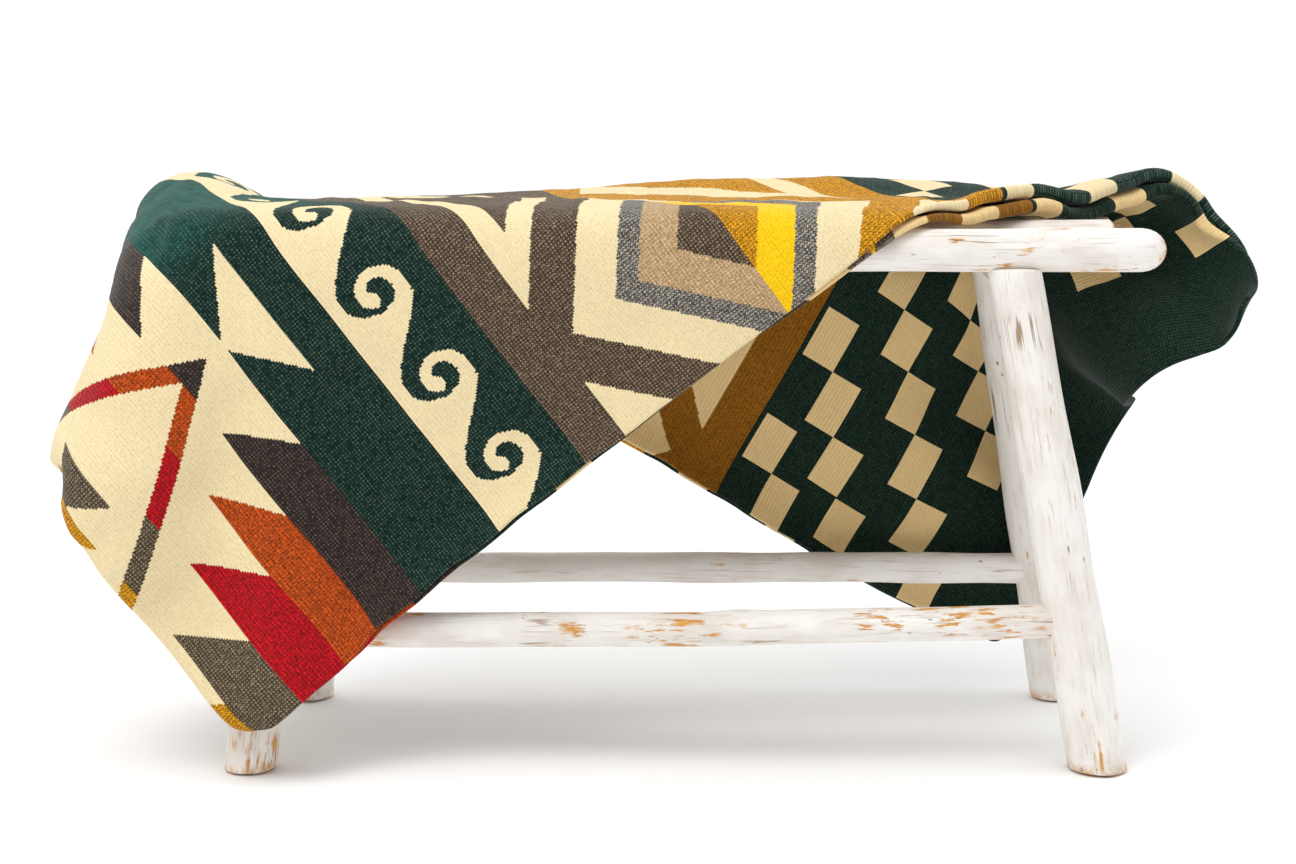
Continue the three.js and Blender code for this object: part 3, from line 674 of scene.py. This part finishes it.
def mixed(tree, factor, a, b):
    n = tree.nodes.new("ShaderNodeMix")
    n.data_type = "RGBA"
    tree.links.new(factor.socket, n.inputs[0])
    for socket, x in ((n.inputs[6], a), (n.inputs[7], b)):
        if isinstance(x, bpy.types.NodeSocket):
            tree.links.new(x, socket)
        else:
            socket.default_value = (*x, 1)
    return n.outputs[2]


def bump(tree, shader, height, distance, strength=1.0):
    n = tree.nodes.new("ShaderNodeBump")
    n.inputs["Distance"].default_value = distance
    n.inputs["Strength"].default_value = strength
    tree.links.new(height.socket, n.inputs["Height"])
    tree.links.new(n.outputs[0], shader.inputs["Normal"])


# ---------------------------------------------------------------- the wool
YARN = dict(cream=(240, 221, 176), green=(6, 39, 33), brown=(74, 57, 46), dark_brown=(46, 37, 34), orange=(202, 82, 18), red=(196, 14, 26), taupe=(76, 64, 48), gold=(226, 158, 22), yellow=(252, 204, 14), grey=(92, 86, 78), tan=(184, 150, 108))
# The second yarn that shows through between the stitches, and how often it does.
SPOT = dict(cream=(216, 194, 148), green=(98, 118, 102), brown=(178, 160, 130), dark_brown=(122, 104, 95), orange=(88, 38, 22), red=(88, 12, 24), taupe=(178, 162, 132), gold=(70, 48, 18), yellow=(228, 164, 30), grey=(206, 200, 186), tan=(228, 206, 168))
SHARE = dict(cream=0.12, green=0.2, brown=0.28, dark_brown=0.2, orange=0.4, red=0.34, taupe=0.3, gold=0.44, yellow=0.14, grey=0.42, tan=0.3)
FLECK = dict(cream=0.06, green=0.5, brown=0.45, dark_brown=0.45, orange=0.5, red=0.5, taupe=0.45, gold=0.4, yellow=0.12, grey=0.6, tan=0.3)  # how uneven each yarn's colour is
STITCH_U, STITCH_Y = 1.9, 1.85  # mm, the step in which the colours change
SPOT_MM = 1.45  # the step in which the second yarn shows


def wool_material():
    m, tree, shader = new_material("wool")
    uv = tree.nodes.new("ShaderNodeUVMap")
    uv.uv_map = "UVMap"
    split = tree.nodes.new("ShaderNodeSeparateXYZ")
    tree.links.new(uv.outputs[0], split.inputs[0])
    u, y = Wire(tree, split.outputs[0]) * 1000, Wire(tree, split.outputs[1]) * 1000
    flat = vector(tree, u, y, 0.0)
    # the colours change a whole stitch at a time
    uq = (u * (1 / STITCH_U)).op("FLOOR") * STITCH_U + STITCH_U / 2
    d = (K.abs(y) * (1 / STITCH_Y)).op("FLOOR") * STITCH_Y + STITCH_Y / 2
    weights = design(K, uq, d)
    base = coloured(tree, weights, {k: tuple(linear(c)) for k, c in YARN.items()})
    amount = None
    for name, w in weights.items():
        amount = w * FLECK[name] if amount is None else amount + w * FLECK[name]
    cell = tree.nodes.new("ShaderNodeTexWhiteNoise")
    cell.noise_dimensions = "2D"
    tree.links.new(vector(tree, (u * (1 / 1.35)).op("FLOOR"), (y * (1 / 1.85)).op("FLOOR"), 0.0), cell.inputs["Vector"])
    fleck = (Wire(tree, cell.outputs["Value"]) - 0.5) * 1.5 + (noise(tree, flat, 0.45, 1) - 0.5) * 1.6
    row = (y * (1 / SPOT_MM)).op("FLOOR")
    stitch = tree.nodes.new("ShaderNodeTexWhiteNoise")
    stitch.noise_dimensions = "2D"
    column = (u * (1 / SPOT_MM) + K.mod(row, 2) * 0.5).op("FLOOR")
    tree.links.new(vector(tree, column, row, 0.0), stitch.inputs["Vector"])
    # the second yarn comes up in turn: in one stitch of four, then in two, with a little chance
    odd_row, odd_column = K.mod(row, 2), K.mod(column, 2)
    turn = odd_row * 0.25 + K.abs(odd_row - odd_column) * 0.5 + 0.125 + (Wire(tree, stitch.outputs["Value"]) - 0.5) * 0.3
    share = None
    for name, w in weights.items():
        share = w * SHARE[name] if share is None else share + w * SHARE[name]
    shows = K.clamp((share - turn) * 7 + 0.4)
    inside = K.gt(0, y)  # the half of the blanket that is seen from under the seat
    # Painted shade: on the half seen from under the seat, the second yarn shows less, gold is pulled to dark brown and
    # every colour is multiplied by a warm tan. This darkens it the way the seat's shadow would.
    base = mixed(tree, shows * (0.6 - inside * 0.32), base, coloured(tree, weights, {k: tuple(linear(c)) for k, c in SPOT.items()}))
    base = mixed(tree, inside * weights["gold"] * 0.62, base, tuple(linear((64, 42, 18))))
    tint = tree.nodes.new("ShaderNodeMix")
    tint.data_type, tint.blend_type = "RGBA", "MULTIPLY"
    tree.links.new(inside.socket, tint.inputs[0])
    tree.links.new(base, tint.inputs[6])
    tint.inputs[7].default_value = (1.0, 0.88, 0.7, 1)
    base = tint.outputs[2]
    slow = noise(tree, flat, 0.012, 2) - 0.5
    # ribs along u, with the valley between them darker
    rib = ((y * (math.pi / STITCH_Y)).op("SINE") * 0.5 + 0.5)
    loop = ((u * (2 * math.pi / STITCH_U)).op("SINE") * 0.5 + 0.5)
    shade = 1 + amount * fleck * 1.0 + slow * 0.16
    valley = 1 - (1 - rib) * (amount * 0.55 + 0.02)
    colour = scaled(tree, base, K.max(shade * valley, 0.05))
    # Painted sheen: where this attribute is high, the green turns light teal and the other colours turn paler, standing
    # in for the light the pile catches where the cloth curves away.
    painted_sheen = tree.nodes.new("ShaderNodeAttribute")
    painted_sheen.attribute_name = "painted_sheen"
    painted_sheen_amount = Wire(tree, painted_sheen.outputs["Fac"]) * (0.36 + (noise(tree, flat, 0.11, 2, 0.7) - 0.5) * 0.9)
    green_sheen = weights["green"] * painted_sheen_amount
    colour = mixed(tree, K.clamp(green_sheen), colour, tuple(linear((36, 118, 108))))
    colour = mixed(tree, K.clamp((1 - weights["green"]) * painted_sheen_amount * 0.12), colour, tuple(linear((226, 212, 196))))
    tree.links.new(colour, shader.inputs["Base Color"])
    shader.inputs["Roughness"].default_value = 0.92
    shader.inputs["Specular IOR Level"].default_value = 0.18
    shader.inputs["Sheen Weight"].default_value = 0.16
    shader.inputs["Sheen Roughness"].default_value = 0.45
    shader.inputs["Sheen Tint"].default_value = (0.85, 0.93, 0.9, 1)
    height = rib * 0.6 + loop * rib * 0.35 + noise(tree, flat, 1.4, 1) * 0.5
    bump(tree, shader, height, 0.0007, 0.7)
    return m


# ---------------------------------------------------------------- whitewashed wood
def wood_material(name, seed, chips):
    m, tree, shader = new_material(name)
    a = tree.nodes.new("ShaderNodeAttribute")
    a.attribute_name = "grain"
    split = tree.nodes.new("ShaderNodeSeparateXYZ")
    tree.links.new(a.outputs["Vector"], split.inputs[0])
    x, y, z = (Wire(tree, split.outputs[k]) for k in range(3))  # across, across, along, in mm
    end = tree.nodes.new("ShaderNodeAttribute")
    end.attribute_name = "rim"
    rim = Wire(tree, end.outputs["Fac"])
    long = vector(tree, x + seed * 91.0, y, z * 0.14)
    longer = vector(tree, x, y + seed * 57.0, z * 0.05)
    soft = vector(tree, x + seed * 33.0, y, z * 0.5)
    grain = noise(tree, long, 0.16, 4, 0.62)
    shade = noise(tree, soft, 0.022, 3, 0.6)
    paint = mixed(tree, K.clamp((shade - 0.42) * 2.6 + (grain - 0.5) * 0.9), tuple(linear((246, 243, 238))), tuple(linear((220, 208, 196))))
    lines = K.clamp((noise(tree, longer, 0.42, 3, 0.6) - 0.585) * 8)
    paint = mixed(tree, lines * 0.4, paint, tuple(linear((186, 160, 134))))
    patch = K.clamp((noise(tree, soft, 0.03, 3, 0.6) - (0.66 - 0.14 * chips)) * 16)
    flake = K.clamp((noise(tree, long, 0.22, 4, 0.65) - (0.575 - 0.05 * chips)) * 30)
    worn = K.clamp(patch * flake + rim * K.clamp((noise(tree, soft, 0.12, 3, 0.6) - 0.42) * 8))
    bare = mixed(tree, K.clamp((grain - 0.35) * 2.4), tuple(linear((226, 168, 88))), tuple(linear((186, 120, 52))))
    split_line = K.clamp((0.009 - K.abs(noise(tree, vector(tree, x, y + seed * 23.0, z * 0.022), 0.055, 3, 0.55) - 0.5)) * 200) * K.clamp((noise(tree, vector(tree, x * 0.3, y * 0.3 + seed * 5.0, z), 0.012, 1) - 0.54) * 14)
    speck = K.clamp((noise(tree, vector(tree, x, y + 40.0 + seed * 13.0, z * 0.45), 0.16, 2) - 0.735) * 30)
    colour = mixed(tree, worn, paint, bare)
    colour = mixed(tree, speck * 0.75, colour, tuple(linear((120, 104, 90))))
    colour = mixed(tree, split_line * 0.8, colour, tuple(linear((150, 112, 70))))
    tree.links.new(colour, shader.inputs["Base Color"])
    shader.inputs["Roughness"].default_value = 0.62
    shader.inputs["Specular IOR Level"].default_value = 0.3
    height = grain * 0.5 + (1 - worn) * 0.35 - lines * 0.5 - speck * 0.3 - split_line * 1.2 + noise(tree, soft, 0.09, 3) * 0.4
    bump(tree, shader, height, 0.0011, 0.6)
    return m


def log(name, start, end, r0, r1, seed, bow=(0, 0, 0), round0=7.0, round1=7.0, level=False, knots=(), chips=0.5):
    """A debarked log between two points, with its bow, knots and worn ends. level cuts its start flat on the floor."""
    a, b, bow = np.array(start, float), np.array(end, float), np.array(bow, float)
    length = np.linalg.norm(b - a)
    ax = (b - a) / length
    e1 = unit(np.cross(ax, (0, 1, 0) if abs(ax[1]) < 0.9 else (1, 0, 0)))
    e2 = np.cross(ax, e1)
    if level:
        e1, e2 = np.array((1.0, 0, 0)), np.array((0, 1.0, 0))
    sides = 44
    near = np.array([0, 0.03, 0.1, 0.22, 0.4, 0.62, 0.85, 1.0])
    n = max(6, int(length / 9))
    s = np.concatenate([near * round0, np.linspace(round0, length - round1, n)[1:-1], length - near[::-1] * round1])
    turn = np.arange(sides) * 2 * math.pi / sides
    S, T = np.meshgrid(s, turn, indexing="ij")
    t = S / length
    r = r0 + (r1 - r0) * t
    cap = np.minimum(1, np.minimum(S / round0, (length - S) / round1))
    r = r * (0.0 + np.sqrt(np.maximum(0, 1 - (1 - cap) ** 2.2)))
    rng = np.random.default_rng(seed)
    uneven = np.zeros_like(r)
    for _ in range(9):
        m, w, p, q = rng.integers(1, 4), rng.uniform(90, 420), rng.uniform(0, 6.3), rng.uniform(0, 6.3)
        uneven += rng.uniform(0.4, 1) * np.sin(m * T + p) * np.sin(2 * math.pi * S / w + q)
    for _ in range(6):
        m, w, p = rng.integers(5, 11), rng.uniform(160, 600), rng.uniform(0, 6.3)
        uneven += 0.16 * np.sin(m * T + 2 * math.pi * S / w + p)
    r = r * (1 + 0.017 * uneven)
    for at_, angle, high, wide in knots:
        away = (S - at_) ** 2 + (np.angle(np.exp(1j * (T - math.radians(angle)))) * r0) ** 2
        r = r + high * np.exp(-away / wide**2)
    centre = a + ax * S[..., None] + bow * np.sin(math.pi * t)[..., None]
    P = centre + e1 * (r * np.cos(T))[..., None] + e2 * (r * np.sin(T))[..., None]
    rows, k = len(s), np.arange(sides)
    faces = [(i * sides + j, i * sides + (j + 1) % sides, (i + 1) * sides + (j + 1) % sides, (i + 1) * sides + j) for i in range(1, rows - 2) for j in range(sides)]
    points = P.reshape(-1, 3)
    grain = np.stack([r * np.cos(T), r * np.sin(T), S], -1).reshape(-1, 3)
    rim = np.clip(1 - (S if level else np.minimum(S, length - S)) / 9, 0, 1).ravel()
    faces = [tuple(f) for f in faces]
    faces.append(tuple(sides + j for j in range(sides))[::-1])
    faces.append(tuple((rows - 2) * sides + j for j in range(sides)))
    used = np.arange(sides, (rows - 1) * sides)
    faces = [tuple(i - sides for i in f) for f in faces]
    o = new_mesh(name + "_log", points[used], faces, fields={"grain": grain[used] + seed * 7.0, "rim": rim[used]})
    o.data.materials.append(wood_material("wood_" + name, seed, chips))
    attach(o, "root")
    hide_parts(name)
    return o


LOG_LOOKS = {
    "rail_front": dict(seed=1, round0=10, round1=24, chips=0.8, knots=[(560, 200, 1.5, 14)]),
    "rail_rear": dict(seed=2, chips=0.3),
    "pole_front": dict(seed=3, chips=0.3),
    "pole_rear": dict(seed=4, chips=0.3),
    "stretcher_front": dict(seed=5, chips=1.0, bow=(0, 0, -4), round1=13, knots=[(430, 0, 1.6, 18)]),
    "stretcher_rear": dict(seed=6, chips=0.15, bow=(0, 0, 1)),
    "bearer_left": dict(seed=7, chips=0.3),
    "bearer_right": dict(seed=8, chips=0.3),
    "leg_front_left": dict(seed=9, chips=1.15),
    "leg_front_right": dict(seed=10, chips=0.55, knots=[(180, 250, 1.5, 16)]),
    "leg_rear_left": dict(seed=11, chips=0.7),
    "leg_rear_right": dict(seed=12, chips=0.3),
}
for name, x0, y0, z0, r0, x1, y1, z1, r1 in LOGS:
    log(name, (x0, y0, z0), (x1, y1, z1), r0, r1, **LOG_LOOKS[name])
for name, xf, yf, rf, xt, yt, rt in LEGS:
    log(name, (xf, yf, 0), (xt, yt, LEG_TOP - 3), rf, rt, level=True, **{"round0": 3.5, "round1": 2, **LOG_LOOKS[name]})

# ---------------------------------------------------------------- the blanket
skins, u_at, y_at = cloth(settle())
first, second = skins
points = np.concatenate([first.reshape(-1, 3), second[1:-1, 1:-1].reshape(-1, 3)])
place = np.stack([u_at, woven_place(u_at, y_at)], -1)
uv = np.concatenate([place.reshape(-1, 2), place[1:-1, 1:-1].reshape(-1, 2)])
# How much painted sheen each point gets.
painted_sheen_amount = painted_sheen_at(u_at, y_at)
painted_sheen_amount = np.concatenate([painted_sheen_amount.ravel(), painted_sheen_amount[1:-1, 1:-1].ravel()])
blanket = new_mesh("alpaca_blanket", points, cloth_faces(*u_at.shape), uv, {"painted_sheen": painted_sheen_amount})
blanket.data.materials.append(wool_material())
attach(blanket, "root")
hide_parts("blanket")

# ---------------------------------------------------------------- floor, light and camera
floor_mesh = bpy.data.meshes.new("floor")
floor_mesh.from_pydata([(-12, -6, 0), (12, -6, 0), (12, 30, 0), (-12, 30, 0)], [], [(0, 1, 2, 3)])
floor = bpy.data.objects.new("floor", floor_mesh)
bpy.context.scene.collection.objects.link(floor)
paper, tree, shader = new_material("floor_paper")
shader.inputs["Base Color"].default_value = (0.96, 0.96, 0.96, 1)
shader.inputs["Roughness"].default_value = 0.9
shader.inputs["Specular IOR Level"].default_value = 0.1
floor_mesh.materials.append(paper)

world = bpy.data.worlds.new("studio")
world.use_nodes = True
sky = world.node_tree
way = sky.nodes.new("ShaderNodeTexCoord")
split = sky.nodes.new("ShaderNodeSeparateXYZ")
sky.links.new(way.outputs["Generated"], split.inputs[0])
behind = K.clamp(Wire(sky, split.outputs[1]) * 1.4 + 0.65) * 0.6 + 0.4  # a white wall behind, a dimmer room in front
sky.links.new(behind.socket, sky.nodes["Background"].inputs["Strength"])
sky.nodes["Background"].inputs["Color"].default_value = (1, 1, 1, 1)
bpy.context.scene.world = world


def area_light(name, place, aim, size, power):
    light = bpy.data.lights.new(name, "AREA")
    light.size, light.energy = size, power
    o = bpy.data.objects.new(name, light)
    o.location = place
    from mathutils import Vector

    o.rotation_euler = (Vector(aim) - Vector(place)).to_track_quat("-Z", "Y").to_euler()
    bpy.context.scene.collection.objects.link(o)


area_light("key", (-1.3, -1.7, 2.9), (0, 0, 0.3), 1.5, 38)
sun = bpy.data.lights.new("overhead", "SUN")
sun.energy, sun.angle = 1.15, math.radians(60)
sun_object = bpy.data.objects.new("overhead", sun)
sun_object.rotation_euler = (math.radians(14), math.radians(6), 0)
bpy.context.scene.collection.objects.link(sun_object)

camera = bpy.data.cameras.new("camera")
camera.sensor_width, camera.lens = 36, 61.75
camera_object = bpy.data.objects.new("camera", camera)
camera_object.location = tuple(metres(np.array([0, -2085.0, 594.0])))
camera_object.rotation_euler = (math.radians(90 - 8.24), 0, 0)
bpy.context.scene.collection.objects.link(camera_object)
bpy.context.scene.camera = camera_object
bpy.context.scene.view_settings.view_transform = "Standard"
